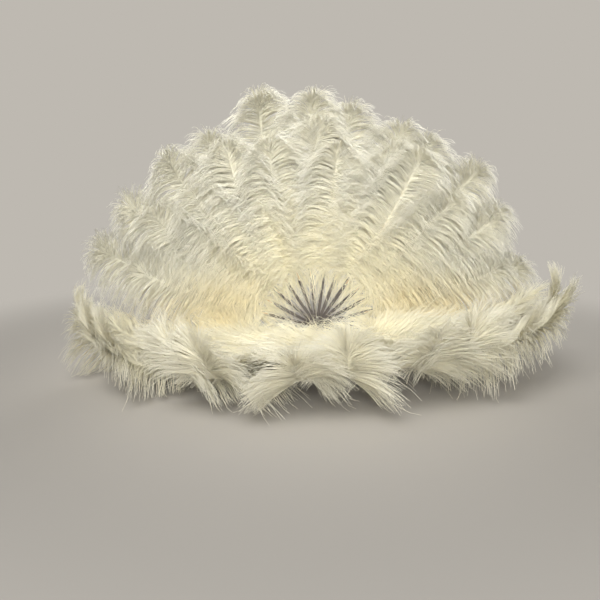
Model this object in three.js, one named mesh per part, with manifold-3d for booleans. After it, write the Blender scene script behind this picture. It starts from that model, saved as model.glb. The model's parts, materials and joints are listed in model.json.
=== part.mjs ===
// A pair of ostrich plume fans, spread wide and set together like an open shell.
// One fan stands upright with its back to a wall, the other lies face up in front of it.
// Millimetres, +Z up, +X to the viewer's right, +Y into the wall.
// The origin is the middle of the flat bolt head that rests on the wall.
import * as THREE from "three";
import { mergeVertices } from "three/addons/utils/BufferGeometryUtils.js";
import Module from "manifold-3d";

const wasm = await Module();
wasm.setup();

// Fan layout
const STAVE_COUNT = 12;
const OUTER_STAVE_ANGLE = 14.5; // degrees between an end stave and the line where the fans meet
const SEAT_GAP = 0.3; // clearance between pieces that rest on each other

// Staves
const STAVE_LENGTH = 190; // pivot to outer end
const STAVE_THICKNESS = 2.4;
const STAVE_GAP = 0.4; // play between neighbouring staves
const STAVE_HEAD_RADIUS = 10;
const STAVE_NECK_WIDTH = 9;
const STAVE_END_WIDTH = 12;
const QUILL_SLOT_WIDTH = 5;
const QUILL_SLOT_LENGTH = 32;

// Pivot bolt, washers and cap nut
const BOLT_DIAMETER = 5;
const BOLT_CLEARANCE = 0.3; // radial play in every bore
const BOLT_HEAD_DIAMETER = 18;
const BOLT_HEAD_THICKNESS = 2;
const BOLT_HEAD_CHAMFER = 0.5;
const WASHER_DIAMETER = 16;
const WASHER_THICKNESS = 1;
const NUT_ACROSS_FLATS = 8;
const NUT_HEX_HEIGHT = 4;
const NUT_DOME_RADIUS = 3.7;
const NUT_CROWN_THICKNESS = 1.6; // metal left above the blind bore

// Plumes: each stave carries a long back plume and a shorter front plume on one quill
const BARE_QUILL_LENGTH = 50; // stave end to the lowest barbs
const QUILL_ROOT_LENGTH = 16; // how far the straight quill runs on between the two vanes
const VANE_ROOT_LENGTH = 22; // radial length over which the vanes lie flat on the quill
const VANE_HALF_WIDTH = 92;
const VANE_TIP_HALF_WIDTH = 9;
const VANE_ROOT_HALF_WIDTH = 1.6;
const VANE_FULLNESS = 1.3; // above 1 the broadest place moves towards the tip
const VANE_ROWS = 6; // rows of facets from the flat root to the rounded tip
const VANE_TIP_ROUNDING = 42; // radial length over which the tip is rounded off
const VANE_SPLAY = 3.4; // how much further apart neighbouring plumes lie once spread
const VANE_SPLAY_LENGTH = 280;
const CURL_POWER = 4.5; // higher is straighter below and tighter at the tip
const UPRIGHT_BACK_PLUME_LENGTH = 515;
const UPRIGHT_FRONT_PLUME_LENGTH = 370;
const UPRIGHT_CURL_HEIGHT = 148;
const UPRIGHT_LEAN_SHARE = 0.65; // part of the rise that is a straight lean, the rest is curl
const UPRIGHT_SAG_DEPTH = 0;
const LYING_BACK_PLUME_LENGTH = 555;
const LYING_FRONT_PLUME_LENGTH = 400;
const LYING_CURL_HEIGHT = 115;
const LYING_LEAN_SHARE = 0.25;
const LYING_SAG_DEPTH = 44; // the lying plumes hang past the ledge before they turn up
const SAG_POWER = 0.55; // lower moves the deepest place towards the staves

// Where the two vanes of a stave lie within its layer, and how thin their edges are
const BACK_VANE_LAYER = { low: 0.04, high: 0.4 };
const FRONT_VANE_LAYER = { low: 0.52, high: 0.88 };
const VANE_EDGE_SHARE = 0.5;

// Smoothness of round faces
const ROUND_SEGMENTS = 12;
const ARC_SEGMENTS = 6;
const VANE_COLUMNS = 4;
const LEAST_ROW_STEP = 6; // rows of facets closer than this are merged

// Sizes that follow from the ones above
const STAVE_PITCH = STAVE_THICKNESS + STAVE_GAP;
const STACK_HEIGHT = (STAVE_COUNT - 1) * STAVE_PITCH + STAVE_THICKNESS;
const BORE_RADIUS = BOLT_DIAMETER / 2 + BOLT_CLEARANCE;
const LOW_WASHER_Z = BOLT_HEAD_THICKNESS + SEAT_GAP;
const STACK_Z = LOW_WASHER_Z + WASHER_THICKNESS + SEAT_GAP;
const HIGH_WASHER_Z = STACK_Z + STACK_HEIGHT + SEAT_GAP;
const NUT_Z = HIGH_WASHER_Z + WASHER_THICKNESS + SEAT_GAP;
const NUT_TOP_Z = NUT_Z + NUT_HEX_HEIGHT + NUT_DOME_RADIUS;
const NUT_BORE_TOP_Z = NUT_TOP_Z - NUT_CROWN_THICKNESS;
const VANE_START = STAVE_LENGTH + BARE_QUILL_LENGTH;
const RISE_START = VANE_START + VANE_ROOT_LENGTH;
const STAVE_STEP_ANGLE = (180 - 2 * OUTER_STAVE_ANGLE) / (STAVE_COUNT - 1);

const staveWood = new THREE.MeshStandardMaterial({ color: 0x5d5248, roughness: 0.55, metalness: 0 });
const plumeIvory = new THREE.MeshStandardMaterial({ color: 0xe9e2cb, roughness: 0.9, metalness: 0 });
const pivotSteel = new THREE.MeshStandardMaterial({ color: 0xb9b8b3, roughness: 0.35, metalness: 1 });

// A closed three.js geometry as a solid that can be joined and cut
function toSolid(geometry) {
  const bare = geometry.clone();
  bare.deleteAttribute("normal");
  bare.deleteAttribute("uv");
  const merged = mergeVertices(bare);
  return new wasm.Manifold(
    new wasm.Mesh({
      numProp: 3,
      vertProperties: new Float32Array(merged.attributes.position.array),
      triVerts: new Uint32Array(merged.index.array),
    }),
  );
}

function toGeometry(solid) {
  const { vertProperties, triVerts } = solid.getMesh();
  const geometry = new THREE.BufferGeometry();
  geometry.setAttribute("position", new THREE.BufferAttribute(vertProperties, 3));
  geometry.setIndex(new THREE.BufferAttribute(triVerts, 1));
  geometry.computeVertexNormals();
  return geometry;
}

// A turned piece about the bolt axis, from a closed outline of [radius, height] points
function turned(outline) {
  const points = outline.map(([radius, height]) => new THREE.Vector2(radius, height));
  const lathe = new THREE.LatheGeometry(points, ROUND_SEGMENTS);
  return lathe.rotateX(Math.PI / 2);
}

// One stave along +X: round head on the bolt, narrow neck, wider end with an open slot for the quill
function staveGeometry() {
  const neck = STAVE_NECK_WIDTH / 2;
  const end = STAVE_END_WIDTH / 2;
  const slot = QUILL_SLOT_WIDTH / 2;
  const neckAngle = Math.asin(neck / STAVE_HEAD_RADIUS);
  const outline = new THREE.Shape();
  outline.moveTo(STAVE_LENGTH, slot);
  outline.lineTo(STAVE_LENGTH, end);
  outline.absarc(0, 0, STAVE_HEAD_RADIUS, neckAngle, 2 * Math.PI - neckAngle, false);
  outline.lineTo(STAVE_LENGTH, -end);
  outline.lineTo(STAVE_LENGTH, -slot);
  outline.lineTo(STAVE_LENGTH - QUILL_SLOT_LENGTH, -slot);
  outline.lineTo(STAVE_LENGTH - QUILL_SLOT_LENGTH, slot);
  const bore = new THREE.Path();
  bore.absarc(0, 0, BORE_RADIUS, 0, 2 * Math.PI, true);
  outline.holes.push(bore);
  const settings = { depth: STAVE_THICKNESS, bevelEnabled: false, curveSegments: ARC_SEGMENTS };
  return toGeometry(toSolid(new THREE.ExtrudeGeometry(outline, settings)));
}

function smoothStep(value) {
  const share = THREE.MathUtils.clamp(value, 0, 1);
  return share * share * (3 - 2 * share);
}

// Half-width of a vane at a share of its length: slim root, broad middle, rounded tip
function vaneHalfWidth(share) {
  const leaf = Math.sqrt(Math.max(Math.sin(Math.PI * share ** VANE_FULLNESS), 0));
  const least = THREE.MathUtils.lerp(VANE_ROOT_HALF_WIDTH, VANE_TIP_HALF_WIDTH, share);
  return Math.max(VANE_HALF_WIDTH * leaf, least);
}

// The layers of a fan nest: at every distance from the bolt each layer has the same rise,
// so the plumes slide over each other without meeting when the fan folds
class PlumeNest {
  constructor(reach, curlHeight, leanShare, sagDepth) {
    this.reach = reach;
    this.curlHeight = curlHeight;
    this.leanShare = leanShare;
    this.sagDepth = sagDepth;
    this.rowSpacing = (reach - VANE_TIP_ROUNDING - RISE_START) / VANE_ROWS;
  }

  riseAtRow(radius, level) {
    const share = Math.max(radius - RISE_START, 0) / (this.reach - RISE_START);
    const curl = this.curlHeight * THREE.MathUtils.lerp(share ** CURL_POWER, share, this.leanShare);
    const sag = this.sagDepth * Math.sin(Math.PI * Math.min(share, 1) ** SAG_POWER) ** 2;
    const splay = VANE_SPLAY * smoothStep((radius - RISE_START) / VANE_SPLAY_LENGTH);
    return level * (STAVE_PITCH + splay) + curl - sag;
  }

  // Straight between the shared rows, so that every plume has the same facets
  rise(radius, level) {
    const row = Math.max(Math.floor((radius - RISE_START) / this.rowSpacing), 0);
    const low = RISE_START + row * this.rowSpacing;
    const share = Math.max((radius - low) / this.rowSpacing, 0);
    const lowRise = this.riseAtRow(low, level);
    const highRise = this.riseAtRow(low + this.rowSpacing, level);
    return THREE.MathUtils.lerp(lowRise, highRise, share);
  }

  // The shared rows below a vane's tip, and the rows that round the tip off
  rowRadii(reach) {
    const radii = [VANE_START];
    for (let radius = RISE_START; radius < reach - LEAST_ROW_STEP; radius += this.rowSpacing) {
      radii.push(radius);
    }
    for (const radius of [reach - VANE_TIP_ROUNDING, reach - VANE_TIP_ROUNDING / 3, reach]) {
      if (radii.every((row) => Math.abs(row - radius) > LEAST_ROW_STEP)) {
        radii.push(radius);
      }
    }
    return radii.sort((a, b) => a - b);
  }
}

// One vane along +X, a thin curled leaf that is thickest along its middle
function vaneGeometry(nest, reach, stave, layer) {
  const radii = nest.rowRadii(reach);
  const middle = stave + (layer.low + layer.high) / 2;
  const halfLayer = (layer.high - layer.low) / 2;
  const positions = [];
  for (const side of [-1, 1]) {
    for (const radius of radii) {
      const halfAngle = vaneHalfWidth((radius - VANE_START) / (reach - VANE_START)) / radius;
      for (let column = 0; column <= VANE_COLUMNS; column += 1) {
        const across = (2 * column) / VANE_COLUMNS - 1;
        const thinning = THREE.MathUtils.lerp(1, VANE_EDGE_SHARE, Math.abs(across));
        const level = middle + side * halfLayer * thinning;
        const angle = across * halfAngle;
        positions.push(radius * Math.cos(angle), radius * Math.sin(angle), nest.rise(radius, level));
      }
    }
  }
  const columns = VANE_COLUMNS + 1;
  const sideSize = radii.length * columns;
  const indices = [];
  const quad = (a, b, c, d) => indices.push(a, b, c, a, c, d);
  for (let row = 0; row + 1 < radii.length; row += 1) {
    const near = row * columns;
    const far = near + columns;
    for (let column = 0; column < VANE_COLUMNS; column += 1) {
      quad(near + column, near + column + 1, far + column + 1, far + column);
      const top = sideSize + column;
      quad(top + near, top + far, top + far + 1, top + near + 1);
    }
    quad(near, far, sideSize + far, sideSize + near);
    const edge = VANE_COLUMNS;
    quad(near + edge, sideSize + near + edge, sideSize + far + edge, far + edge);
  }
  const last = (radii.length - 1) * columns;
  for (let column = 0; column < VANE_COLUMNS; column += 1) {
    quad(column, sideSize + column, sideSize + column + 1, column + 1);
    const end = last + column;
    quad(end, end + 1, sideSize + end + 1, sideSize + end);
  }
  const geometry = new THREE.BufferGeometry();
  geometry.setAttribute("position", new THREE.Float32BufferAttribute(positions, 3));
  geometry.setIndex(indices);
  return geometry;
}

// The flat quill that is let into the stave's slot and carries both vanes
function quillGeometry(stave) {
  const half = QUILL_SLOT_WIDTH / 2 - SEAT_GAP;
  const inner = STAVE_LENGTH - QUILL_SLOT_LENGTH + SEAT_GAP;
  const outer = VANE_START + QUILL_ROOT_LENGTH;
  const outline = new THREE.Shape();
  outline.moveTo(inner, -half);
  outline.lineTo(outer, -half);
  outline.lineTo(outer + half, 0);
  outline.lineTo(outer, half);
  outline.lineTo(inner, half);
  const quill = new THREE.ExtrudeGeometry(outline, { depth: STAVE_THICKNESS, bevelEnabled: false });
  return quill.translate(0, 0, stave * STAVE_PITCH);
}

function plumeGeometry(nest, frontReach, stave) {
  const quill = toSolid(quillGeometry(stave));
  const back = toSolid(vaneGeometry(nest, nest.reach, stave, BACK_VANE_LAYER));
  const front = toSolid(vaneGeometry(nest, frontReach, stave, FRONT_VANE_LAYER));
  return toGeometry(quill.add(back).add(front));
}

function boltGeometry() {
  const shank = BOLT_DIAMETER / 2;
  const head = BOLT_HEAD_DIAMETER / 2;
  const end = NUT_BORE_TOP_Z - SEAT_GAP;
  return turned([
    [0, 0],
    [head, 0],
    [head, BOLT_HEAD_THICKNESS - BOLT_HEAD_CHAMFER],
    [head - BOLT_HEAD_CHAMFER, BOLT_HEAD_THICKNESS],
    [shank, BOLT_HEAD_THICKNESS],
    [shank, end],
    [0, end],
  ]);
}

function washerGeometry() {
  const rim = WASHER_DIAMETER / 2;
  return turned([
    [BORE_RADIUS, 0],
    [rim, 0],
    [rim, WASHER_THICKNESS],
    [BORE_RADIUS, WASHER_THICKNESS],
    [BORE_RADIUS, 0],
  ]);
}

// Domed cap nut: hexagon, round crown and a blind bore that is open below
function capNutGeometry() {
  const corner = NUT_ACROSS_FLATS / 2 / Math.cos(Math.PI / 6);
  const hexagon = new THREE.CylinderGeometry(corner, corner, NUT_HEX_HEIGHT, 6);
  hexagon.rotateX(Math.PI / 2).translate(0, 0, NUT_HEX_HEIGHT / 2);
  const dome = [[0, 0]];
  for (let step = 0; step <= ARC_SEGMENTS; step += 1) {
    const angle = (step / ARC_SEGMENTS) * (Math.PI / 2);
    const radius = step < ARC_SEGMENTS ? NUT_DOME_RADIUS * Math.cos(angle) : 0;
    dome.push([radius, NUT_HEX_HEIGHT + NUT_DOME_RADIUS * Math.sin(angle)]);
  }
  const boreTop = NUT_BORE_TOP_Z - NUT_Z;
  const bore = turned([
    [0, -NUT_HEX_HEIGHT],
    [BORE_RADIUS, -NUT_HEX_HEIGHT],
    [BORE_RADIUS, boreTop],
    [0, boreTop],
  ]);
  return toGeometry(toSolid(hexagon).add(toSolid(turned(dome))).subtract(toSolid(bore)));
}

function addPiece(group, name, geometry, material, height, angle = 0) {
  const piece = new THREE.Mesh(geometry, material);
  piece.name = name;
  piece.position.z = height;
  piece.rotation.z = THREE.MathUtils.degToRad(angle);
  group.add(piece);
}

// A whole fan with its bolt along +Z, its face up and its staves spread about +Y
function fan(name, { backLength, frontLength, curlHeight, leanShare, sagDepth }) {
  const group = new THREE.Group();
  const nest = new PlumeNest(STAVE_LENGTH + backLength, curlHeight, leanShare, sagDepth);
  const stave = staveGeometry();
  for (let index = 0; index < STAVE_COUNT; index += 1) {
    const number = String(index + 1).padStart(2, "0");
    const angle = OUTER_STAVE_ANGLE + index * STAVE_STEP_ANGLE;
    const plume = plumeGeometry(nest, STAVE_LENGTH + frontLength, index);
    addPiece(group, `${name}_stave_${number}`, stave, staveWood, STACK_Z + index * STAVE_PITCH, angle);
    addPiece(group, `${name}_plume_${number}`, plume, plumeIvory, STACK_Z, angle);
  }
  addPiece(group, `${name}_pivot_bolt`, boltGeometry(), pivotSteel, 0);
  addPiece(group, `${name}_back_washer`, washerGeometry(), pivotSteel, LOW_WASHER_Z);
  addPiece(group, `${name}_front_washer`, washerGeometry(), pivotSteel, HIGH_WASHER_Z);
  addPiece(group, `${name}_cap_nut`, capNutGeometry(), pivotSteel, NUT_Z);
  return group;
}

const uprightFan = fan("upright", {
  backLength: UPRIGHT_BACK_PLUME_LENGTH,
  frontLength: UPRIGHT_FRONT_PLUME_LENGTH,
  curlHeight: UPRIGHT_CURL_HEIGHT,
  leanShare: UPRIGHT_LEAN_SHARE,
  sagDepth: UPRIGHT_SAG_DEPTH,
});
uprightFan.rotation.x = Math.PI / 2;

// The lying fan's stave heads touch the upright fan's cap nut, and both fans rest on one level
const lyingFan = fan("lying", {
  backLength: LYING_BACK_PLUME_LENGTH,
  frontLength: LYING_FRONT_PLUME_LENGTH,
  curlHeight: LYING_CURL_HEIGHT,
  leanShare: LYING_LEAN_SHARE,
  sagDepth: LYING_SAG_DEPTH,
});
lyingFan.rotation.z = Math.PI;
lyingFan.position.set(0, -(NUT_TOP_Z + SEAT_GAP + STAVE_HEAD_RADIUS), -STAVE_HEAD_RADIUS);

const plumeFanPair = new THREE.Group();
plumeFanPair.add(uprightFan, lyingFan);

export default plumeFanPair;
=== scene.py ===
"""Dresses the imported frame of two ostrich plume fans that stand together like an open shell."""

import json
import math

import bpy
import numpy as np
from bpy.props import (
    FloatProperty,
    FloatVectorProperty,
    IntProperty,
    PointerProperty,
)
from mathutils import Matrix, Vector


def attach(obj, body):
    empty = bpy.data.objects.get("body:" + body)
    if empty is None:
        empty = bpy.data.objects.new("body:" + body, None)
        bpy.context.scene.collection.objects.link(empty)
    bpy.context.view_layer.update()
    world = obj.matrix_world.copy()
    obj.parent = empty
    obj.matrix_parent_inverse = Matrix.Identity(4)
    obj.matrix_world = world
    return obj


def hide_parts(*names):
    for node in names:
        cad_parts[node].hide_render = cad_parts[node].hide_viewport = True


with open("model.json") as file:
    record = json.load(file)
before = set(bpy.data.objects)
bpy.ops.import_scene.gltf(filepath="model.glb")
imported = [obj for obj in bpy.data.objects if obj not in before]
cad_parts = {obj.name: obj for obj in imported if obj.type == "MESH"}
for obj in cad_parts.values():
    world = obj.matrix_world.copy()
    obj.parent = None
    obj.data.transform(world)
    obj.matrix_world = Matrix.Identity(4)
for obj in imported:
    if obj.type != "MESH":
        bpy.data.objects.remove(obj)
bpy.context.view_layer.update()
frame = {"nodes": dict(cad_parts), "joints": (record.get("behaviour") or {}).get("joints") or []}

bl_info = {
    "name": "Ostrich plume fans",
    "version": (1, 0, 0),
    "blender": (4, 5, 0),
    "location": "3D View > Sidebar > Plume fans",
    "description": "Grows the plumes and finishes the staves and pivots of two folding fans",
    "category": "Object",
}

FANS = ("upright", "lying")
LEAVES = 12
STILL_LEAF = 6
DOWNWARDS = (0.0, 0.0, -1.0)

# Limits that loose barbs keep to, in metres, and how softly they meet them
REARMOST = 0.004
LOWEST = -0.066
SOFT_STOP = 0.03

# Quills: length inside the stave's slot, half the distance between the two quills of a stave,
# points along a quill and its thickness at shares of its length
QUILL_IN_SLOT = 0.026
QUILL_ASIDE = 0.0011
QUILL_STEPS = 40
QUILL_SHARES = (0, 0.12, 0.6, 1)
QUILL_THICKNESS = (0.65, 1.0, 0.6, 0.2)
QUILL_FOOT_THICKNESS = 0.6

# Each plume lies a step higher than the one before it, which it climbs over a run of its length
LAYER_STEP = 0.0034
LAYER_START = 0.24
LAYER_RUN = 0.28

# What chance does to a plume: factors on its length, curl, power of the curl and lift, and the
# radians that a plume with a stray of one would be turned at most
LENGTH_CHANCE = (0.98, 1.02)
CURL_CHANCE = (0.85, 1.15)
POWER_CHANCE = (0.9, 1.15)
LIFT_CHANCE = (0.5, 1.8)
TURN_CHANCE = (-5.0, 5.0)

# How long each plume is beside the others of its row, from the first leaf to the last
LEAF_REACH = {
    ("upright", "back"): (0.92, 0.91, 0.98, 0.92, 0.92, 0.94, 1.0, 1.03, 0.9, 0.98, 0.93, 0.97),
    ("upright", "front"): (0.98, 1.04, 0.93, 1.05, 1.0, 0.92, 1.06, 0.98, 1.04, 0.9, 1.03, 0.96),
    ("lying", "back"): (1.1, 1.08, 1.05, 0.95, 1.02, 0.95, 1.0, 0.95, 1.0, 1.0, 1.1, 1.08),
    ("lying", "front"): (1.2, 1.1, 0.95, 1.02, 0.96, 1.05, 0.93, 1.0, 0.97, 1.04, 1.1, 1.2),
}

# Degrees that the tip of each plume swings out of its stave's line
LEAF_SWING = {
    "upright": (4, 5, 4, 5, -1, 1, -7, -7, -7, -6, -8, -6),
    "lying": (0, 2, -2, 1, -1, 2, -2, 1, -1, 2, -2, 0),
}

# Degrees that each plume is turned about its quill
LEAF_TILT = {
    "upright": (-11, -8, -5, -2, -1, 0, 0, 1, 2, 5, 8, 11),
    "lying": (-38, -26, -12, -4, -1, 0, 0, 1, 3, 7, 11, 15),
}


def tint(red, green, blue):
    """A colour given as it looks on screen, 0 to 255, as Blender's linear values."""
    shares = [channel / 255 for channel in (red, green, blue)]
    return tuple(s / 12.92 if s <= 0.04045 else ((s + 0.055) / 1.055) ** 2.4 for s in shares)


class PlumeBarbs(bpy.types.PropertyGroup):
    """Barbs and quills, the same on all plumes."""

    back_count: IntProperty(name="Back barbs", description="Barbs on a back plume", default=1150, min=20)
    front_count: IntProperty(
        name="Front barbs", description="Barbs on a front plume", default=950, min=20
    )
    steps: IntProperty(name="Steps", description="Bends along one barb", default=6, min=3)
    locks: IntProperty(name="Locks", description="Locks on each side of a metre of quill", default=160)
    length: FloatProperty(
        name="Length", description="Longest barbs", default=0.135, unit="LENGTH", subtype="DISTANCE"
    )
    width: FloatProperty(
        name="Width",
        description="Barb width at the root",
        default=0.0023,
        unit="LENGTH",
        subtype="DISTANCE",
    )
    bare: FloatProperty(
        name="Bare quill", description="Quill without barbs past the stave", default=0.012, unit="LENGTH"
    )
    quill_radius: FloatProperty(
        name="Quill radius", description="Quill at its thickest", default=0.0014, unit="LENGTH"
    )
    frizz: FloatProperty(
        name="Frizz", description="How far the ends of the barbs curl to and fro", default=0.3
    )
    gather: FloatProperty(name="Gather", description="How closely a lock closes up", default=0.78)


class UprightShape(bpy.types.PropertyGroup):
    """Course of the plumes of the fan that stands."""

    back_length: FloatProperty(
        name="Back length", description="Quill past the stave", default=0.52, unit="LENGTH"
    )
    front_length: FloatProperty(
        name="Front length", description="Quill past the stave", default=0.41, unit="LENGTH"
    )
    curl: FloatProperty(
        name="Curl", description="Turn of the tip", default=math.radians(54), subtype="ANGLE"
    )
    curl_power: FloatProperty(
        name="Curl power", description="Higher keeps the curl at the tip", default=4.0
    )
    front_curl: FloatProperty(
        name="Front curl", description="Curl of the front row, as a share", default=0.7
    )
    side_curl: FloatProperty(
        name="Side curl", description="How much more the plumes at the sides curl", default=0.0
    )
    sag: FloatProperty(name="Sag", description="Dip before the curl", default=0.0, subtype="ANGLE")
    lift: FloatProperty(
        name="Lift", description="Front row off the back", default=math.radians(6), subtype="ANGLE"
    )
    stray: FloatProperty(
        name="Stray", description="How far plumes lean and turn out of line", default=0.05
    )
    cup: FloatProperty(name="Cup", description="How far barbs turn to the face", default=0.5)
    fluff: FloatProperty(name="Fluff", description="How far down at the base stands off", default=0.5)
    wisps: FloatProperty(
        name="Wisps", description="Share of stray base barbs before the staves", default=0.22
    )
    base_weight: FloatProperty(
        name="Base weight", description="How far barbs at the base hang", default=1.5
    )
    middle_weight: FloatProperty(
        name="Middle weight", description="How far barbs midway hang", default=1.55
    )
    tip_weight: FloatProperty(
        name="Tip weight", description="How far barbs at the tip hang", default=1.25
    )
    cream: FloatProperty(name="Cream", description="Cream left towards the tips", default=0.0)
    seed: IntProperty(name="Seed", description="Start of the random draws", default=11)


class LyingShape(bpy.types.PropertyGroup):
    """Course of the plumes of the fan that lies."""

    back_length: FloatProperty(
        name="Back length", description="Quill past the stave", default=0.53, unit="LENGTH"
    )
    front_length: FloatProperty(
        name="Front length", description="Quill past the stave", default=0.37, unit="LENGTH"
    )
    curl: FloatProperty(
        name="Curl", description="Turn of the tip", default=math.radians(84), subtype="ANGLE"
    )
    curl_power: FloatProperty(
        name="Curl power", description="Higher keeps the curl at the tip", default=4.2
    )
    front_curl: FloatProperty(
        name="Front curl", description="Curl of the front row, as a share", default=0.5
    )
    side_curl: FloatProperty(
        name="Side curl", description="How much more the plumes at the sides curl", default=0.25
    )
    sag: FloatProperty(
        name="Sag", description="Dip before the curl", default=math.radians(9), subtype="ANGLE"
    )
    lift: FloatProperty(
        name="Lift", description="Front row off the back", default=math.radians(2.5), subtype="ANGLE"
    )
    stray: FloatProperty(
        name="Stray", description="How far plumes lean and turn out of line", default=0.09
    )
    cup: FloatProperty(name="Cup", description="How far barbs turn to the face", default=0.2)
    fluff: FloatProperty(name="Fluff", description="How far down at the base stands off", default=0.2)
    wisps: FloatProperty(
        name="Wisps", description="Share of stray base barbs before the staves", default=0.4
    )
    base_weight: FloatProperty(
        name="Base weight", description="How far barbs at the base hang", default=0.25
    )
    middle_weight: FloatProperty(
        name="Middle weight", description="How far barbs midway hang", default=1.2
    )
    tip_weight: FloatProperty(
        name="Tip weight", description="How far barbs at the tip hang", default=0.75
    )
    cream: FloatProperty(name="Cream", description="Cream left towards the tips", default=0.4)
    seed: IntProperty(name="Seed", description="Start of the random draws", default=47)


class FanColours(bpy.types.PropertyGroup):
    """Colours and finishes."""

    barb_tip: FloatVectorProperty(
        name="Barb tips",
        description="Pale ends of the barbs",
        subtype="COLOR",
        size=3,
        default=tint(236, 233, 219),
    )
    barb_root: FloatVectorProperty(
        name="Barb roots",
        description="Ivory near the quill",
        subtype="COLOR",
        size=3,
        default=tint(244, 239, 215),
    )
    down: FloatVectorProperty(
        name="Down",
        description="Golden down near the stave",
        subtype="COLOR",
        size=3,
        default=tint(251, 242, 205),
    )
    crease: FloatVectorProperty(
        name="Crease",
        description="Gold between the fans",
        subtype="COLOR",
        size=3,
        default=tint(242, 225, 174),
    )
    horn: FloatVectorProperty(
        name="Horn",
        description="Amber foot of the quill",
        subtype="COLOR",
        size=3,
        default=tint(206, 158, 92),
    )
    quill: FloatVectorProperty(
        name="Quill",
        description="Horn of the quill",
        subtype="COLOR",
        size=3,
        default=tint(205, 186, 152),
    )
    wood: FloatVectorProperty(
        name="Stave wood", description="Stained stave", subtype="COLOR", size=3, default=tint(98, 90, 81)
    )
    wood_grain: FloatVectorProperty(
        name="Stave grain", description="Dark grain", subtype="COLOR", size=3, default=tint(62, 55, 49)
    )
    steel: FloatVectorProperty(
        name="Pivot steel",
        description="Bolt, washers and nut",
        subtype="COLOR",
        size=3,
        default=tint(205, 203, 196),
    )
    tarnish: FloatVectorProperty(
        name="Tarnish", description="Dulled steel", subtype="COLOR", size=3, default=tint(150, 142, 128)
    )


class StageSetting(bpy.types.PropertyGroup):
    """Floor, light and camera."""

    floor_drop: FloatProperty(
        name="Floor drop", description="Floor below the pivots", default=0.085, unit="LENGTH"
    )
    floor: FloatVectorProperty(
        name="Floor",
        description="Floor and backdrop",
        subtype="COLOR",
        size=3,
        default=tint(190, 185, 177),
    )
    key: FloatProperty(name="Key", description="Main lamp", default=11.9, unit="POWER")
    fill: FloatProperty(name="Fill", description="Lamp from the front", default=6.6, unit="POWER")
    back: FloatProperty(name="Back", description="Lamp from behind", default=9.0, unit="POWER")
    sky: FloatProperty(name="Sky", description="Light from all round", default=0.28)
    camera_place: FloatVectorProperty(
        name="Camera",
        description="Camera position",
        subtype="TRANSLATION",
        size=3,
        default=(-0.055, -2.10, 0.462),
    )
    camera_pitch: FloatProperty(
        name="Camera pitch", description="Downward tilt", default=math.radians(10.3), subtype="ANGLE"
    )
    lens: FloatProperty(name="Lens", description="Focal length in millimetres", default=39.4)


class Wire:
    """A node's output that can be used in sums; each sum adds the node that works it out."""

    def __init__(self, bench, socket):
        self.bench = bench
        self.socket = socket

    def is_vector(self):
        return self.socket.type in ("VECTOR", "RGBA")

    def sum(self, operation, first, second):
        """A sum of two numbers or two vectors; a number beside a vector scales it."""
        vectors = [
            isinstance(value, tuple) or isinstance(value, Wire) and value.is_vector()
            for value in (first, second)
        ]
        if all(vectors):
            return self.bench.vectors(operation, {0: first, 1: second})
        if any(vectors):
            vector, number = (first, second) if vectors[0] else (second, first)
            return self.bench.vectors("SCALE", {0: vector, "Scale": number})
        return self.bench.numbers(operation, {0: first, 1: second})

    def __add__(self, other):
        return self.sum("ADD", self, other)

    def __radd__(self, other):
        return self.sum("ADD", other, self)

    def __sub__(self, other):
        return self.sum("SUBTRACT", self, other)

    def __rsub__(self, other):
        return self.sum("SUBTRACT", other, self)

    def __mul__(self, other):
        return self.sum("MULTIPLY", self, other)

    def __rmul__(self, other):
        return self.sum("MULTIPLY", other, self)

    def __truediv__(self, other):
        return self.sum("DIVIDE", self, other)

    def __rtruediv__(self, other):
        return self.sum("DIVIDE", other, self)

    def __mod__(self, other):
        return self.sum("MODULO", self, other)

    def __rmod__(self, other):
        return self.sum("MODULO", other, self)

    def __pow__(self, other):
        return self.sum("POWER", self, other)

    def __rpow__(self, other):
        return self.sum("POWER", other, self)

    def __lt__(self, other):
        return self.sum("LESS_THAN", self, other)

    def __gt__(self, other):
        return self.sum("GREATER_THAN", self, other)

    def math(self, operation):
        return self.bench.numbers(operation, {0: self})

    def cross(self, other):
        return self.sum("CROSS_PRODUCT", self, other)

    def direction(self):
        return self.bench.vectors("NORMALIZE", {0: self})

    def length(self):
        return self.bench.vectors("LENGTH", {0: self}, "Value")


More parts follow.
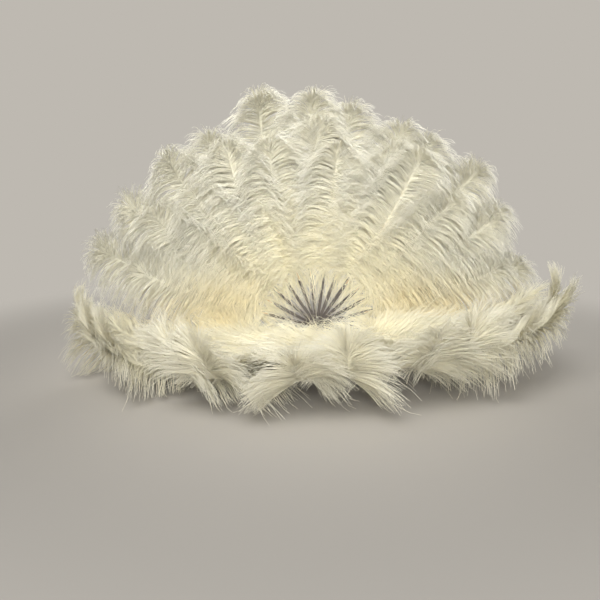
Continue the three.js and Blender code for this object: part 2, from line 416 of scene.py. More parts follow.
class Bench:
    """A node tree that is being wired up."""

    def __init__(self, tree):
        self.tree = tree

    def node(self, kind, settings=None, sockets=None, output=None):
        made = self.tree.nodes.new(kind)
        for name, value in (settings or {}).items():
            if name == "points":
                self.draw_curve(made.mapping, value)
            elif name == "stops":
                self.draw_ramp(made.color_ramp, value)
            else:
                setattr(made, name, value)
        for name, value in (sockets or {}).items():
            self.feed(self.pick(made.inputs, name), value)
        if not made.outputs:
            return made
        return Wire(self, self.pick(made.outputs, output))

    def pick(self, sockets, name):
        shown = [s for s in sockets if s.enabled]
        if name is None:
            return shown[0]
        if isinstance(name, int):
            return shown[name]
        return next(s for s in shown if s.name == name)

    def feed(self, socket, value):
        if isinstance(value, list):
            for one in value:
                self.feed(socket, one)
        elif isinstance(value, Wire):
            self.tree.links.new(value.socket, socket)
        elif socket.type == "RGBA" and len(value) == 3:
            socket.default_value = (*value, 1.0)
        else:
            socket.default_value = value

    def draw_curve(self, mapping, points):
        curve = mapping.curves[0]
        while len(curve.points) < len(points):
            curve.points.new(0.5, 0.5)
        for point, place in zip(curve.points, points):
            point.location = place
        mapping.update()

    def draw_ramp(self, ramp, stops):
        while len(ramp.elements) < len(stops):
            ramp.elements.new(0.5)
        for element, (place, colour) in zip(ramp.elements, stops):
            element.position = place
            element.color = (*colour, 1.0)

    def other(self, wire, output):
        """Another output of the node that a wire comes from."""
        return Wire(self, self.pick(wire.socket.node.outputs, output))

    def numbers(self, operation, sockets):
        return self.node("ShaderNodeMath", {"operation": operation}, sockets)

    def vectors(self, operation, sockets, output=None):
        return self.node("ShaderNodeVectorMath", {"operation": operation}, sockets, output)

    def joined(self, x, y, z):
        return self.node("ShaderNodeCombineXYZ", None, {"X": x, "Y": y, "Z": z})

    def split(self, vector):
        x = self.node("ShaderNodeSeparateXYZ", None, {"Vector": vector}, "X")
        return x, self.other(x, "Y"), self.other(x, "Z")

    def ease(self, value, low, high, first=0.0, last=1.0):
        """Goes smoothly from the first number to the last while a value goes from low to high."""
        sockets = {"Value": value, "From Min": low, "From Max": high, "To Min": first, "To Max": last}
        return self.node("ShaderNodeMapRange", {"interpolation_type": "SMOOTHSTEP"}, sockets)

    def noise(self, vector, scale, detail, roughness=0.5):
        sockets = {"Vector": vector, "Scale": scale, "Detail": detail, "Roughness": roughness}
        return self.node("ShaderNodeTexNoise", None, sockets)

    def mix(self, share, first, second):
        sockets = {"Factor": share, "A": first, "B": second}
        return self.node("ShaderNodeMix", {"data_type": "RGBA"}, sockets)

    def object_place(self):
        return self.node("ShaderNodeTexCoord", output="Object")

    def shade_number(self, name):
        """A number stored on the mesh, in a material."""
        return self.node("ShaderNodeAttribute", {"attribute_name": name}, output="Fac")

    def stored_number(self, name):
        """A number stored on the geometry, in a Geometry Nodes tree."""
        return self.node("GeometryNodeInputNamedAttribute", {"data_type": "FLOAT"}, {"Name": name})

    def store(self, geometry, name, value):
        settings = {"data_type": "FLOAT", "domain": "POINT"}
        sockets = {"Geometry": geometry, "Name": name, "Value": value}
        return self.node("GeometryNodeStoreNamedAttribute", settings, sockets)


def new_material(name):
    material = bpy.data.materials.new(name)
    material.use_nodes = True
    material.node_tree.nodes.clear()
    return material, Bench(material.node_tree)


def finish_material(bench, sockets):
    shader = bench.node("ShaderNodeBsdfPrincipled", None, sockets)
    bench.node("ShaderNodeOutputMaterial", None, {"Surface": shader})


# Shares of a plume's length between which golden down gives way to ivory, and how golden it is
GOLDEN_STRETCH = (0.08, 0.75)
GOLDEN_STRENGTH = 0.9

# Gold in the crease between the fans: it fades between two distances from the pivots, with the
# fans' width squeezed, starts between two distances to either side of them, in metres, and comes
# in patches
CREASE_SQUEEZE = (0.12, 1.0, 1.0)
CREASE_FADE = (0.08, 0.24)
CREASE_START = (0.1, 0.3)
CREASE_PATCH = 7.0

# Painted shade at the barbs' roots: how bright a barb is at its root, darkened there in place of the
# shade that crowded barbs cast, and further out, the share of its length in between, and how much its
# own tone adds
ROOT_PAINTED_SHADE = 0.63
BARB_BRIGHTNESS = 0.91
PAINTED_SHADE_SHARE = 0.45
TONE_RANGE = 0.16

# Places along the quill where its amber foot ends and its horn begins
FOOT_END = 0.06
HORN_START = 0.14


def plume_material(colours):
    """Ivory barbs, golden near the staves and in the crease, with painted shade at their roots."""
    material, bench = new_material("plume ivory")
    along_barb = bench.shade_number("along_barb")
    ivory = bench.mix(along_barb ** 0.8, tuple(colours.barb_root), tuple(colours.barb_tip))
    along_plume = bench.shade_number("along_plume")
    cream = bench.shade_number("cream")
    golden = bench.ease(along_plume, *GOLDEN_STRETCH, GOLDEN_STRENGTH, cream)
    colour = bench.mix(golden * (1 - along_barb * 0.5), ivory, tuple(colours.down))
    place = bench.object_place()
    crease = bench.ease((place * CREASE_SQUEEZE).length(), *CREASE_FADE, 1.0, 0.0)
    aside, _, _ = bench.split(place)
    beside = bench.ease(aside.math("ABSOLUTE"), *CREASE_START)
    patch = bench.noise(place, CREASE_PATCH, 1.0)
    colour = bench.mix(crease * (patch * 0.5 + 0.25) * beside, colour, tuple(colours.crease))
    # Painted shade: each barb's colour darkens towards its root, where its neighbours would shade it
    painted_root_shade = bench.ease(along_barb, 0.0, PAINTED_SHADE_SHARE, ROOT_PAINTED_SHADE, BARB_BRIGHTNESS)
    colour = colour * (painted_root_shade + bench.shade_number("tone") * TONE_RANGE)
    finish_material(bench, {"Base Color": colour, "Roughness": 0.72, "Specular IOR Level": 0.25})
    return material


def quill_material(colours):
    """Horn that is amber at the foot and pales towards the tip."""
    material, bench = new_material("quill horn")
    stops = [
        (FOOT_END, tuple(colours.horn)),
        (HORN_START, tuple(colours.quill)),
        (1.0, tuple(colours.barb_root)),
    ]
    along_plume = bench.shade_number("along_plume")
    colour = bench.node("ShaderNodeValToRGB", {"stops": stops}, {0: along_plume})
    finish_material(bench, {"Base Color": colour, "Roughness": 0.35, "Specular IOR Level": 0.5})
    return material


def tree_with(name, inputs):
    """A new Geometry Nodes tree with named inputs, its bench and a wire for each input."""
    tree = bpy.data.node_groups.new(name, "GeometryNodeTree")
    for label, kind in inputs.items():
        tree.interface.new_socket(label, in_out="INPUT", socket_type="NodeSocket" + kind)
    tree.interface.new_socket("Geometry", in_out="OUTPUT", socket_type="NodeSocketGeometry")
    bench = Bench(tree)
    entry = tree.nodes.new("NodeGroupInput")
    wires = {label: Wire(bench, entry.outputs[label]) for label in inputs}
    return tree, bench, wires


PLUME_INPUTS = {
    "Rachis": "Geometry",
    "Barbs": "Int",
    "Steps": "Int",
    "Locks": "Int",
    "Barb Length": "Float",
    "Barb Width": "Float",
    "Bare Share": "Float",
    "Across": "Vector",
    "Rearmost": "Float",
    "Lowest": "Float",
    "Base Weight": "Float",
    "Middle Weight": "Float",
    "Tip Weight": "Float",
    "Cup": "Float",
    "Fluff": "Float",
    "Wisps": "Float",
    "Frizz": "Float",
    "Cream": "Float",
    "Gather": "Float",
    "Seed": "Int",
    "Barb Material": "Material",
    "Quill Material": "Material",
}

# Along the plume, the length of the barbs as a share of the longest
BARB_OUTLINE = [
    (0.0, 0.62),
    (0.05, 0.66),
    (0.15, 0.8),
    (0.35, 0.96),
    (0.7, 1.0),
    (0.9, 0.9),
    (1.0, 0.78),
]

# Along the plume, the angle between barb and quill as a share of half a turn
BARB_ANGLE = [
    (0.0, 0.62),
    (0.05, 0.52),
    (0.12, 0.44),
    (0.25, 0.37),
    (0.6, 0.35),
    (0.8, 0.33),
    (0.9, 0.29),
    (0.96, 0.19),
    (1.0, 0.02),
]

# Stretches of a plume, as shares of its length, over which one part gives way to the next
STRAY_STRETCH = (0.0, 0.07)
DOWN_STRETCH = (0.0, 0.22)
MIDDLE_STRETCH = (0.35, 0.6)
TIP_STRETCH = (0.75, 0.95)
TIPWARD_STRETCH = (0.6, 1.0)
TIPMOST_STRETCH = (0.86, 1.0)
BENT_BACK_STRETCH = (0.88, 1.0)

# How far the barbs crowd towards both ends of the quill
CROWDING = 0.08

# Keeps a point's number from falling to the barb before it
ROUNDING_GUARD = 0.0001

# Barbs that lie back along the stave: the chance of one at the very base, their angle as a share of
# half a turn, the radians and the share of their length that chance adds, their slope before the
# stave and how much less it is behind it
STRAY_CHANCE = 0.75
STRAY_ANGLE = 0.95
STRAY_TURN = 0.3
STRAY_LENGTH = (-0.6, 0.8)
STRAY_RISE = 0.25
STRAY_BEHIND = (0.4, 0.6)

# Turns in radians: of each barb, more of it in the down and at the tip, of each lock, more of it
# in the down, and of slow waves, with the number of waves along a plume
BARB_TURN = 0.05
DOWN_TURN = 0.5
TIP_TURN = 0.5
LOCK_TURN = 0.06
DOWN_LOCK_TURN = 0.25
WAVE_TURN = 0.22
TURN_WAVES = 16.0

# Slopes towards the face: of each barb, of each barb in the down, of each lock, of slow waves, with
# the number of waves along a plume, and the slope away from the face at the very tip
BARB_RISE = (-0.1, 0.25)
DOWN_RISE = (-0.8, 1.0)
LOCK_RISE = 0.12
WAVE_RISE = 0.28
RISE_WAVES = 14.0
TIP_FALL = 0.45

# Barbs that draw more than this number hang loose, and are longer by this share
LOOSE_ABOVE = 0.96
LOOSE_EXTRA = 0.45

# Sides of a barb and of a quill, and how much a barb thins out towards its tip
BARB_SIDES = 3
QUILL_SIDES = 8
BARB_TAPER = 0.72


class BarbFields:
    """Where every point of every barb goes: each barb leaves the quill, arches, hangs and locks."""

    def __init__(self, bench, given, quill):
        self.bench = bench
        self.given = given
        index = bench.node("GeometryNodeInputIndex")
        places = given["Steps"] + 1.0
        self.count = given["Barbs"] * places
        self.barb = (index / places + ROUNDING_GUARD).math("FLOOR")
        self.out = (index - self.barb * places) / given["Steps"]
        self.midway = self.out + 0.5 / given["Steps"]
        even = (self.barb + self.draw(self.barb, 1, 0.0, 1.0)) / given["Barbs"]
        self.place = even - (even * (2 * math.pi)).math("SINE") * CROWDING
        pair = self.barb % 2.0
        self.side = 1 - 2 * pair
        self.lock = (self.place * given["Locks"]).math("FLOOR")
        self.lock_number = self.lock * 2 + pair
        self.along = given["Bare Share"] + (1 - given["Bare Share"]) * self.place

        self.downy = self.ease(DOWN_STRETCH, 1.0, 0.0)
        self.tipward = self.ease(TIPWARD_STRETCH)
        self.tipmost = self.ease(TIPMOST_STRETCH)
        chance = self.ease(STRAY_STRETCH, STRAY_CHANCE, 0.0)
        self.strayed = self.draw(self.barb, 20, 0.0, 1.0) < chance

        sampling = {"mode": "FACTOR", "use_all_curves": True}
        sockets = {"Curves": quill, "Factor": self.along}
        self.root = bench.node("GeometryNodeSampleCurve", sampling, sockets, "Position")
        self.tangent = bench.other(self.root, "Tangent").direction()
        self.face = self.tangent.cross(given["Across"]).direction()
        self.outwards = self.face.cross(self.tangent) * self.side
        self.quill_length = bench.node("GeometryNodeCurveLength", None, {"Curve": quill})

    def draw(self, count, seed, low=-1.0, high=1.0):
        """A random number for each barb or lock."""
        sockets = {"Min": low, "Max": high, "ID": count, "Seed": self.given["Seed"] + seed}
        return self.bench.node("FunctionNodeRandomValue", {"data_type": "FLOAT"}, sockets)

    def ease(self, stretch, first=0.0, last=1.0):
        """A smooth change over a stretch of the plume."""
        return self.bench.ease(self.place, *stretch, first, last)

    def drift(self, seed, waves):
        """A slow wander along one side of the plume, so that barbs part into tufts."""
        walk = self.place * waves + self.side * 7.3 + self.given["Seed"] * 0.37 + seed
        sockets = {"W": walk, "Scale": 1.0, "Detail": 1.0}
        return self.bench.node("ShaderNodeTexNoise", {"noise_dimensions": "1D"}, sockets) * 2 - 1

    def shape(self, points):
        """A number read off a drawn curve along the plume."""
        return self.bench.node("ShaderNodeFloatCurve", {"points": points}, {"Value": self.place})

    def angle(self):
        """Angle at which each barb leaves the quill."""
        angle = (
            self.shape(BARB_ANGLE) * math.pi
            + self.draw(self.barb, 2) * (BARB_TURN + self.downy * DOWN_TURN + self.tipmost * TIP_TURN)
            + self.draw(self.lock_number, 3) * (LOCK_TURN + self.downy * DOWN_LOCK_TURN)
            + self.drift(1.0, TURN_WAVES) * WAVE_TURN
        )
        stray = STRAY_ANGLE * math.pi + self.draw(self.barb, 21) * STRAY_TURN
        return angle + self.strayed * (stray - angle)

    def length(self):
        """Length of each barb."""
        uneven = 1 + self.draw(self.barb, 4) * 0.16 + self.draw(self.lock_number, 5) * 0.1
        length = self.given["Barb Length"] * self.shape(BARB_OUTLINE) * uneven
        length = length * (1 + self.strayed * self.draw(self.barb, 22, *STRAY_LENGTH))
        length = length * (1 - self.tipmost * 0.2)
        loose = self.draw(self.barb, 25, 0.0, 1.0) > LOOSE_ABOVE
        return length * (1 + loose * LOOSE_EXTRA * (1 - self.tipward))

    def rise(self):
        """How far each barb sets out towards the face of the plume."""
        rise = (
            self.draw(self.barb, 6, *BARB_RISE)
            - self.ease(BENT_BACK_STRETCH, 0.0, TIP_FALL)
            + self.draw(self.barb, 15, *DOWN_RISE) * self.downy * self.given["Fluff"]
            + self.draw(self.lock_number, 7) * LOCK_RISE
            + self.drift(2.0, RISE_WAVES) * WAVE_RISE
        )
        behind = self.draw(self.barb, 23, 0.0, 1.0) > self.given["Wisps"]
        stray = STRAY_RISE - behind * self.draw(self.barb, 24, *STRAY_BEHIND)
        return rise + self.strayed * (stray - rise)

    def cup(self):
        """How far each barb bends to the face on its way out."""
        uneven = self.draw(self.lock_number, 19) * (0.3 - self.tipward * 0.2)
        cup = self.given["Cup"] * (0.6 + self.tipward * 0.65 - self.tipmost * 0.2 + uneven)
        return cup * (1 - self.strayed * 0.9)

    def hang(self):
        """How far each barb hangs by its own weight."""
        base = self.given["Base Weight"] * self.ease(MIDDLE_STRETCH, 1.0, 0.0)
        middle = self.given["Middle Weight"] * self.ease(MIDDLE_STRETCH)
        middle = middle * self.ease(TIP_STRETCH, 1.0, 0.0)
        tip = self.given["Tip Weight"] * self.ease(TIP_STRETCH)
        uneven = 1 + self.draw(self.barb, 9) * 0.2 + self.draw(self.lock_number, 10) * 0.25
        return (base + middle + tip) * uneven * (1 - self.downy * 0.6)

    def walked(self):
        """The way from a barb's root to each of its points."""
        midway = self.midway
        angle = self.angle()
        phase = midway * (6 + self.draw(self.barb, 11) * 2) + self.draw(self.lock_number, 12) * 3.0
        wave = self.given["Frizz"] * midway * (0.5 + self.downy)
        arch = self.rise() * (1 - midway) + self.cup() * midway ** 1.5
        course = (
            self.tangent * angle.math("COSINE")
            + self.outwards * angle.math("SINE")
            + self.face * (arch + wave * phase.math("SINE"))
            + DOWNWARDS * (self.hang() * midway * midway)
            + self.tangent * (wave * phase.math("COSINE") + self.draw(self.barb, 17) * 0.2 * midway)
            + self.outwards * (self.draw(self.barb, 18) * 0.2 * midway)
        )
        leg = course.direction() * (self.length() / self.given["Steps"])
        settings = {"data_type": "FLOAT_VECTOR", "domain": "POINT"}
        sockets = {"Value": leg, "Group ID": self.barb}
        return self.bench.node("GeometryNodeAccumulateField", settings, sockets, "Trailing")

    def spot(self):
        """Where each point ends up, with the locks closed and the limits kept."""
        middle = (self.lock + 0.5) / self.given["Locks"]
        close = (middle - self.place) * (1 - self.given["Bare Share"]) * self.quill_length
        close = close * self.given["Gather"] * (1 - self.tipward * 0.6)
        free = self.root + self.walked() + self.tangent * (close * self.out)
        x, y, z = self.bench.split(free)
        y = self.bench.numbers("SMOOTH_MIN", {0: y, 1: self.given["Rearmost"], 2: SOFT_STOP})
        z = self.bench.numbers("SMOOTH_MAX", {0: z, 1: self.given["Lowest"], 2: SOFT_STOP})
        return self.bench.joined(x, y, z)

    def tone(self):
        """How light each barb is beside its neighbours."""
        return self.draw(self.barb, 13, 0.0, 0.4) + self.draw(self.lock_number, 14, 0.0, 0.6)


def ring_section(bench, sides):
    """A round section whose corners know their place on the ring."""
    sockets = {"Resolution": sides, "Radius": 1.0}
    ring = bench.node("GeometryNodeCurvePrimitiveCircle", {"mode": "RADIUS"}, sockets)
    return bench.store(ring, "round_strand", bench.node("GeometryNodeInputIndex") / float(sides))


def tube(bench, curve, sides, radius, material):
    """A closed tube along a curve."""
    section = ring_section(bench, sides)
    sockets = {"Curve": curve, "Profile Curve": section, "Scale": radius, "Fill Caps": True}
    made = bench.node("GeometryNodeCurveToMesh", None, sockets)
    return bench.node("GeometryNodeSetMaterial", None, {"Geometry": made, "Material": material})


def barb_tubes(bench, given, quill):
    """All barbs of a plume, each a thin tube that tapers."""
    fields = BarbFields(bench, given, quill)
    points = bench.node("GeometryNodePoints", None, {"Count": fields.count})
    points = bench.store(points, "cream", given["Cream"])
    points = bench.store(points, "along_plume", fields.along)
    points = bench.store(points, "along_barb", fields.out)
    points = bench.store(points, "tone", fields.tone())
    points = bench.store(points, "strand", fields.barb)
    sockets = {"Geometry": points, "Position": fields.spot()}
    points = bench.node("GeometryNodeSetPosition", None, sockets)
    sockets = {"Points": points, "Curve Group ID": fields.barb, "Weight": fields.out}
    strands = bench.node("GeometryNodePointsToCurves", None, sockets)
    taper = 1 - bench.stored_number("along_barb") * BARB_TAPER
    radius = given["Barb Width"] * 0.5 * taper
    return tube(bench, strands, BARB_SIDES, radius, given["Barb Material"])


def quill_tube(bench, given, quill):
    """The quill itself, with the thickness that its path carries."""
    shaft = bench.node("GeometryNodeSplineParameter")
    quill = bench.store(quill, "along_plume", shaft)
    quill = bench.store(quill, "strand", given["Barbs"] + 0.0)
    radius = bench.stored_number("quill_radius")
    return tube(bench, quill, QUILL_SIDES, radius, given["Quill Material"])


def plume_tree():
    """The tree that turns a quill's path into a plume."""
    tree, bench, given = tree_with("Plume", PLUME_INPUTS)
    quill = bench.node("GeometryNodeMeshToCurve", None, {"Mesh": given["Rachis"]})
    tubes = [quill_tube(bench, given, quill), barb_tubes(bench, given, quill)]
    whole = bench.node("GeometryNodeJoinGeometry", None, {"Geometry": tubes})
    whole = bench.node("GeometryNodeRealizeInstances", None, {"Geometry": whole})
    sockets = {"Geometry": whole, "Shade Smooth": True}
    whole = bench.node("GeometryNodeSetShadeSmooth", None, sockets)
    bench.node("NodeGroupOutput", None, {"Geometry": whole})
    return tree


def grown_mesh(name, mesh, tree, values):
    """Runs a tree on a path and gives back the plain mesh."""
    holder = bpy.data.objects.new(name + "_path", mesh)
    bpy.context.scene.collection.objects.link(holder)
    modifier = holder.modifiers.new("Grown", "NODES")
    modifier.node_group = tree
    for item in tree.interface.items_tree:
        if item.in_out == "INPUT" and item.name in values:
            modifier[item.identifier] = values[item.name]
    graph = bpy.context.evaluated_depsgraph_get()
    grown = bpy.data.meshes.new_from_object(holder.evaluated_get(graph))
    holder.modifiers.remove(modifier)
    bpy.data.objects.remove(holder)
    bpy.data.meshes.remove(mesh)
    grown.name = name
    return grown


# Margins that a strand's strip keeps on the map, across and along, as shares of its cell
STRIP_MARGIN_ACROSS = 0.1
STRIP_MARGIN_ALONG = 0.05


def lay_strands_flat(mesh, strands):
    """A map on which every strand has a strip of its own."""
    columns = math.ceil(math.sqrt(strands + 1))
    read = {}
    for label in ("strand", "along_barb", "along_plume", "round_strand"):
        read[label] = np.zeros(len(mesh.vertices), np.float32)
        mesh.attributes[label].data.foreach_get("value", read[label])
    is_quill = read["strand"] > strands - 0.5
    length = np.where(is_quill, read["along_plume"], read["along_barb"])
    column = np.mod(np.round(read["strand"]), columns)
    row = np.floor(np.round(read["strand"]) / columns)
    across = STRIP_MARGIN_ACROSS + (1 - 2 * STRIP_MARGIN_ACROSS) * read["round_strand"]
    along = STRIP_MARGIN_ALONG + (1 - 2 * STRIP_MARGIN_ALONG) * length
    flat = np.stack([(column + across) / columns, (row + along) / columns], axis=1)
    corners = np.zeros(len(mesh.loops), np.int32)
    mesh.loops.foreach_get("vertex_index", corners)
    layer = mesh.uv_layers.new(name="OFBake")
    layer.uv.foreach_set("vector", flat[corners].astype(np.float32).ravel())


def fold_joint(fan):
    return next(joint for joint in frame["joints"] if joint["name"] == f"{fan}_fold")


# Points of a stave beyond this share of its reach are its outer end
OUTER_END = 0.9


class Leaf:
    """One stave of a fan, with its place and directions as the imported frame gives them."""

    def __init__(self, fan, number):
        joint = fold_joint(fan)
        self.pivot = np.array(joint["pos_m"], float)
        self.face = np.array(joint["axis"], float)
        self.body = "pair_frame" if number == STILL_LEAF else f"{fan}_leaf_{number:02d}"
        self.plume_node = f"{fan}_plume_{number:02d}"
        mesh = frame["nodes"][f"{fan}_stave_{number:02d}"].data
        spots = np.zeros(len(mesh.vertices) * 3)
        mesh.vertices.foreach_get("co", spots)
        spots = spots.reshape(-1, 3) - self.pivot
        heights = spots @ self.face
        flat = spots - np.outer(heights, self.face)
        reach = np.linalg.norm(flat, axis=1)
        far = flat[reach > OUTER_END * reach.max()].mean(axis=0)
        self.outwards = far / np.linalg.norm(far)
        self.across = np.cross(self.face, self.outwards)
        self.end = (flat @ self.outwards).max()
        self.height = (heights.min() + heights.max()) / 2
        self.level = number - 1
        self.swing = math.radians(LEAF_SWING[fan][self.level])
        self.tilt = math.radians(LEAF_TILT[fan][self.level])

    def across_plume(self, turn):
        """The line across a plume whose quill is turned in its slot."""
        line = self.across * math.cos(turn) + self.face * math.sin(turn)
        return [float(value) for value in line]


def quill_path(leaf, shape, length, curl, side, lift, draws):
    """Points of a quill from inside the stave's slot to the plume's tip."""
    share = np.linspace(0, 1, QUILL_STEPS)
    middle = (LEAVES - 1) / 2
    aside = abs(leaf.level - middle) / middle
    curl = curl * draws.uniform(*CURL_CHANCE) * (1 + shape.side_curl * (aside - 0.5))
    power = shape.curl_power * draws.uniform(*POWER_CHANCE)
    turn = curl * share ** power - shape.sag * np.sin(np.pi * share ** 0.8)
    turn = turn + lift * draws.uniform(*LIFT_CHANCE)
    between = (turn[1:] + turn[:-1]) / 2
    stride = length / (QUILL_STEPS - 1)
    along = leaf.end + np.concatenate([[0], np.cumsum(np.cos(between))]) * stride
    up = np.concatenate([[0], np.cumsum(np.sin(between))]) * stride
    spread = np.clip((along - LAYER_START) / LAYER_RUN, 0, 1)
    up = up + leaf.level * LAYER_STEP * spread * spread * (3 - 2 * spread)
    swing = (leaf.end + length) * leaf.swing
    sway = (draws.uniform(-1, 1) * shape.stray * length + swing) * share ** 2
    along = np.concatenate([[leaf.end - QUILL_IN_SLOT], along])
    up = np.concatenate([[0], up]) + leaf.height
    sway = np.concatenate([[0], sway]) + side * QUILL_ASIDE
    points = leaf.pivot + np.outer(along, leaf.outwards)
    return points + np.outer(up, leaf.face) + np.outer(sway, leaf.across)


def path_mesh(name, points, radius):
    """A quill's path, with its thickness at every point."""
    share = np.linspace(0, 1, QUILL_STEPS)
    thickness = np.interp(share, QUILL_SHARES, QUILL_THICKNESS)
    radii = np.concatenate([[QUILL_FOOT_THICKNESS], thickness]) * radius
    mesh = bpy.data.meshes.new(name)
    edges = [(i, i + 1) for i in range(len(points) - 1)]
    mesh.from_pydata([tuple(p) for p in points], edges, [])
    mesh.attributes.new("quill_radius", "FLOAT", "POINT").data.foreach_set("value", radii)
    return mesh


def grow_fan(fan, shape, scene):
    """All plumes of one fan, each a piece that rides on its stave's body."""
    barbs = scene.plume_barbs
    tree = bpy.data.node_groups.get("Plume") or plume_tree()
    ivory = bpy.data.materials.get("plume ivory") or plume_material(scene.fan_colours)
    horn = bpy.data.materials.get("quill horn") or quill_material(scene.fan_colours)
    draws = np.random.default_rng(shape.seed)
    front_curl = shape.curl * shape.front_curl
    rows = (
        ("back", barbs.back_count, shape.back_length, shape.curl, -1, 0.0),
        ("front", barbs.front_count, shape.front_length, front_curl, 1, shape.lift),
    )
    for number in range(1, LEAVES + 1):
        leaf = Leaf(fan, number)
        for row, count, length, curl, side, lift in rows:
            length = length * LEAF_REACH[fan, row][leaf.level] * draws.uniform(*LENGTH_CHANCE)
            points = quill_path(leaf, shape, length, curl, side, lift, draws)
            turn = draws.uniform(*TURN_CHANCE) * shape.stray + leaf.tilt
            values = {
                "Barbs": count,
                "Steps": barbs.steps,
                "Locks": round(barbs.locks * length),
                "Barb Length": barbs.length,
                "Barb Width": barbs.width,
                "Bare Share": (QUILL_IN_SLOT + barbs.bare) / (QUILL_IN_SLOT + length),
                "Across": leaf.across_plume(turn),
                "Rearmost": REARMOST,
                "Lowest": LOWEST,
                "Base Weight": shape.base_weight,
                "Middle Weight": shape.middle_weight,
                "Tip Weight": shape.tip_weight,
                "Cup": shape.cup,
                "Fluff": shape.fluff,
                "Wisps": shape.wisps,
                "Frizz": barbs.frizz,
                "Cream": shape.cream,
                "Gather": barbs.gather,
                "Seed": int(draws.integers(1, 100000)),
                "Barb Material": ivory,
                "Quill Material": horn,
            }
            name = f"{fan}_{row}_plume_{number:02d}"
            mesh = grown_mesh(name, path_mesh(name, points, barbs.quill_radius), tree, values)
            lay_strands_flat(mesh, count)
            plume = bpy.data.objects.new(name, mesh)
            bpy.context.scene.collection.objects.link(plume)
            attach(plume, leaf.body)
            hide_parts(leaf.plume_node)


class PLUMEFAN_OT_upright(bpy.types.Operator):
    """Grow the plumes of the fan that stands"""

    bl_idname = "plumefan.upright"
    bl_label = "Upright plumes"

    def execute(self, context):
        grow_fan("upright", context.scene.upright_shape, context.scene)
        return {"FINISHED"}


class PLUMEFAN_OT_lying(bpy.types.Operator):
    """Grow the plumes of the fan that lies"""

    bl_idname = "plumefan.lying"
    bl_label = "Lying plumes"

    def execute(self, context):
        grow_fan("lying", context.scene.lying_shape, context.scene)
        return {"FINISHED"}


def about_pivot(bench, fan):
    """Distance, turn and height about a fan's bolt."""
    joint = fold_joint(fan)
    x, y, z = bench.split(bench.object_place() - tuple(joint["pos_m"]))
    stands = abs(joint["axis"][1]) > 0.5
    second, height = (z, y) if stands else (y, z)
    radius = (x * x + second * second) ** 0.5
    turn = bench.numbers("ARCTAN2", {0: second, 1: x})
    return radius, turn, height


def bumped(bench, strength, distance, height):
    sockets = {"Strength": strength, "Distance": distance, "Height": height}
    return bench.node("ShaderNodeBump", None, sockets)


def dress(node, material):
    for slot in node.material_slots:
        slot.material = material


# Lines of grain to a radian of turn, to a metre out from the pivot and to a metre of height
GRAIN_LINES = (90, 14, 350)

# Distances from the pivot between which the darker head of a stave ends, in metres
DARK_HEAD_STRETCH = (0.012, 0.05)


class PLUMEFAN_OT_staves(bpy.types.Operator):
    """Stain the staves"""

    bl_idname = "plumefan.staves"
    bl_label = "Staves"

    def execute(self, context):
        colours = context.scene.fan_colours
        for fan in FANS:
            material = self.stain(fan, colours)
            for number in range(1, LEAVES + 1):
                dress(frame["nodes"][f"{fan}_stave_{number:02d}"], material)
        return {"FINISHED"}

    def stain(self, fan, colours):
        """Stained wood whose grain runs out from the pivot along every stave."""
        material, bench = new_material(f"stained {fan} staves")
        radius, turn, height = about_pivot(bench, fan)
        by_turn, by_radius, by_height = GRAIN_LINES
        lines = bench.joined(turn * by_turn, radius * by_radius, height * by_height)
        grain = bench.noise(lines, 1.0, 5.0, 0.6)
        board = bench.noise(lines, 0.12, 1.0)
        dark = bench.ease(grain + (board - 0.5) * 0.5, 0.3, 0.7)
        colour = bench.mix(dark, tuple(colours.wood), tuple(colours.wood_grain))
        # The stave's colour darkens towards its head at the pivot
        darker_head = bench.ease(radius, *DARK_HEAD_STRETCH, 0.35, 0.0)
        colour = bench.mix(darker_head, colour, tuple(colours.wood_grain))
        bump = bumped(bench, 0.25, 0.0004, 1 - grain)
        roughness = 0.36 + dark * 0.2
        finish_material(bench, {"Base Color": colour, "Roughness": roughness, "Normal": bump})
        return material


# Turned rings to a metre out from the bolt, to a radian of turn and to a metre of height
TURNED_RINGS = (2600, 0.4, 900)

# Spots of tarnish: how fine they are, and how much the turn about the bolt stretches them
TARNISH_SCALE = 220.0
TARNISH_STRETCH = 0.01


class PLUMEFAN_OT_pivots(bpy.types.Operator):
    """Brush the bolts, washers and cap nuts"""

    bl_idname = "plumefan.pivots"
    bl_label = "Pivots"

    def execute(self, context):
        for fan in FANS:
            material = self.brush(fan, context.scene.fan_colours)
            for piece in ("pivot_bolt", "back_washer", "front_washer", "cap_nut"):
                dress(frame["nodes"][f"{fan}_{piece}"], material)
        return {"FINISHED"}

    def brush(self, fan, colours):
        """Turned steel with fine rings about the bolt and a little tarnish."""
        material, bench = new_material(f"turned {fan} steel")
        radius, turn, height = about_pivot(bench, fan)
        by_radius, by_turn, by_height = TURNED_RINGS
        rings = bench.joined(radius * by_radius, turn * by_turn, height * by_height)
        line = bench.noise(rings, 1.0, 2.0)
        spots = bench.joined(radius, turn * TARNISH_STRETCH, height)
        tarnish = bench.noise(spots, TARNISH_SCALE, 3.0)
        dull = bench.ease(tarnish, 0.45, 0.75, 0.0, 0.5)
        colour = bench.mix(dull, tuple(colours.steel), tuple(colours.tarnish))
        sockets = {
            "Base Color": colour,
            "Roughness": 0.24 + line * 0.16 + dull * 0.3,
            "Metallic": 1.0,
            "Normal": bumped(bench, 0.12, 0.0002, line),
        }
        finish_material(bench, sockets)
        return material


# Half the floor's width, and the distances from the pivots between which it fades, in metres
FLOOR_HALF = 8.0
FLOOR_FADE = (0.8, 1.7)

# Width, place and aim of each lamp, in metres, and the spread of its light in degrees
LAMPS = {
    "key": (1.5, (-0.4, -1.9, 2.05), (0, -0.05, 0.45), 70),
    "fill": (1.2, (0.0, -2.55, 1.1), (0, 0, 0.45), 45),
    "back": (1.8, (0.3, 2.6, 1.0), (0, 0, 0.3), 70),
}
SKY_COLOUR = (1.0, 0.99, 0.97)
SENSOR_WIDTH = 36


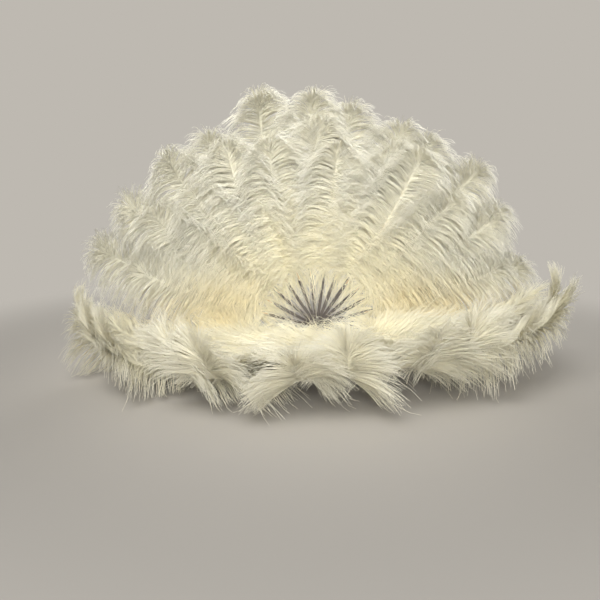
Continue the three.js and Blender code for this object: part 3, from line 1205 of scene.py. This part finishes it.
class PLUMEFAN_OT_stage(bpy.types.Operator):
    """Lay the floor, hang the lamps and set the camera"""

    bl_idname = "plumefan.stage"
    bl_label = "Stage"

    def execute(self, context):
        scene = context.scene
        stage = scene.stage_setting
        self.lay_floor(scene, stage)
        self.light_sky(scene, stage)
        for name, (width, place, aim, spread) in LAMPS.items():
            self.hang_lamp(scene, name, getattr(stage, name), width, place, aim, spread)
        self.place_camera(scene, stage)
        scene.view_settings.view_transform = "Standard"
        return {"FINISHED"}

    def lay_floor(self, scene, stage):
        mesh = bpy.data.meshes.new("floor")
        corners = [(-1, -1), (1, -1), (1, 1), (-1, 1)]
        spots = [(x * FLOOR_HALF, y * FLOOR_HALF, -stage.floor_drop) for x, y in corners]
        mesh.from_pydata(spots, [], [(0, 1, 2, 3)])
        floor = bpy.data.objects.new("floor", mesh)
        scene.collection.objects.link(floor)
        material, bench = new_material("pale floor")
        fade = bench.ease(bench.object_place().length(), *FLOOR_FADE)
        matt = bench.node("ShaderNodeBsdfDiffuse", None, {"Color": tuple(stage.floor)})
        sockets = {"Color": tuple(stage.floor), "Strength": 1.0}
        glow = bench.node("ShaderNodeEmission", None, sockets)
        ray = bench.node("ShaderNodeLightPath", output="Is Camera Ray")
        blend = bench.node("ShaderNodeMixShader", None, {0: fade * ray, 1: matt, 2: glow})
        bench.node("ShaderNodeOutputMaterial", None, {"Surface": blend})
        mesh.materials.append(material)

    def light_sky(self, scene, stage):
        """Soft light from all round, with the floor's colour for what the camera sees of it."""
        world = bpy.data.worlds.new("studio")
        world.use_nodes = True
        world.node_tree.nodes.clear()
        bench = Bench(world.node_tree)
        sockets = {"Color": SKY_COLOUR, "Strength": stage.sky}
        sky = bench.node("ShaderNodeBackground", None, sockets)
        sockets = {"Color": tuple(stage.floor), "Strength": 1.0}
        backdrop = bench.node("ShaderNodeBackground", None, sockets)
        ray = bench.node("ShaderNodeLightPath", output="Is Camera Ray")
        seen = ray + bench.other(ray, "Is Glossy Ray") + bench.other(ray, "Is Transmission Ray")
        sockets = {0: seen.math("SIGN"), 1: sky, 2: backdrop}
        blend = bench.node("ShaderNodeMixShader", None, sockets)
        bench.node("ShaderNodeOutputWorld", None, {"Surface": blend})
        scene.world = world

    def hang_lamp(self, scene, name, power, width, place, aim, spread):
        data = bpy.data.lights.new(name, "AREA")
        data.energy = power
        data.size = width
        data.spread = math.radians(spread)
        lamp = bpy.data.objects.new(name, data)
        lamp.location = place
        lamp.rotation_euler = (Vector(aim) - Vector(place)).to_track_quat("-Z", "Y").to_euler()
        scene.collection.objects.link(lamp)

    def place_camera(self, scene, stage):
        data = bpy.data.cameras.new("camera")
        data.lens = stage.lens
        data.sensor_width = SENSOR_WIDTH
        data.sensor_fit = "HORIZONTAL"
        camera = bpy.data.objects.new("camera", data)
        camera.location = stage.camera_place
        camera.rotation_euler = (math.pi / 2 - stage.camera_pitch, 0, 0)
        scene.collection.objects.link(camera)
        scene.camera = camera


class PLUMEFAN_PT_sidebar(bpy.types.Panel):
    """The fans' pieces in the order they are made"""

    bl_label = "Plume fans"
    bl_space_type = "VIEW_3D"
    bl_region_type = "UI"
    bl_category = "Plume fans"

    def draw(self, context):
        for operator in OPERATORS:
            self.layout.operator(operator.bl_idname)


OPERATORS = (
    PLUMEFAN_OT_staves,
    PLUMEFAN_OT_pivots,
    PLUMEFAN_OT_upright,
    PLUMEFAN_OT_lying,
    PLUMEFAN_OT_stage,
)
SETTINGS = {
    "plume_barbs": PlumeBarbs,
    "upright_shape": UprightShape,
    "lying_shape": LyingShape,
    "fan_colours": FanColours,
    "stage_setting": StageSetting,
}
CLASSES = (*SETTINGS.values(), *OPERATORS, PLUMEFAN_PT_sidebar)


def register():
    for one in CLASSES:
        bpy.utils.register_class(one)
    for name, group in SETTINGS.items():
        setattr(bpy.types.Scene, name, PointerProperty(type=group))


def unregister():
    for name in SETTINGS:
        delattr(bpy.types.Scene, name)
    for one in reversed(CLASSES):
        bpy.utils.unregister_class(one)


def main():
    register()
    bpy.ops.plumefan.staves()
    bpy.ops.plumefan.pivots()
    bpy.ops.plumefan.upright()
    bpy.ops.plumefan.lying()
    bpy.ops.plumefan.stage()


if __name__ == "__main__":
    main()
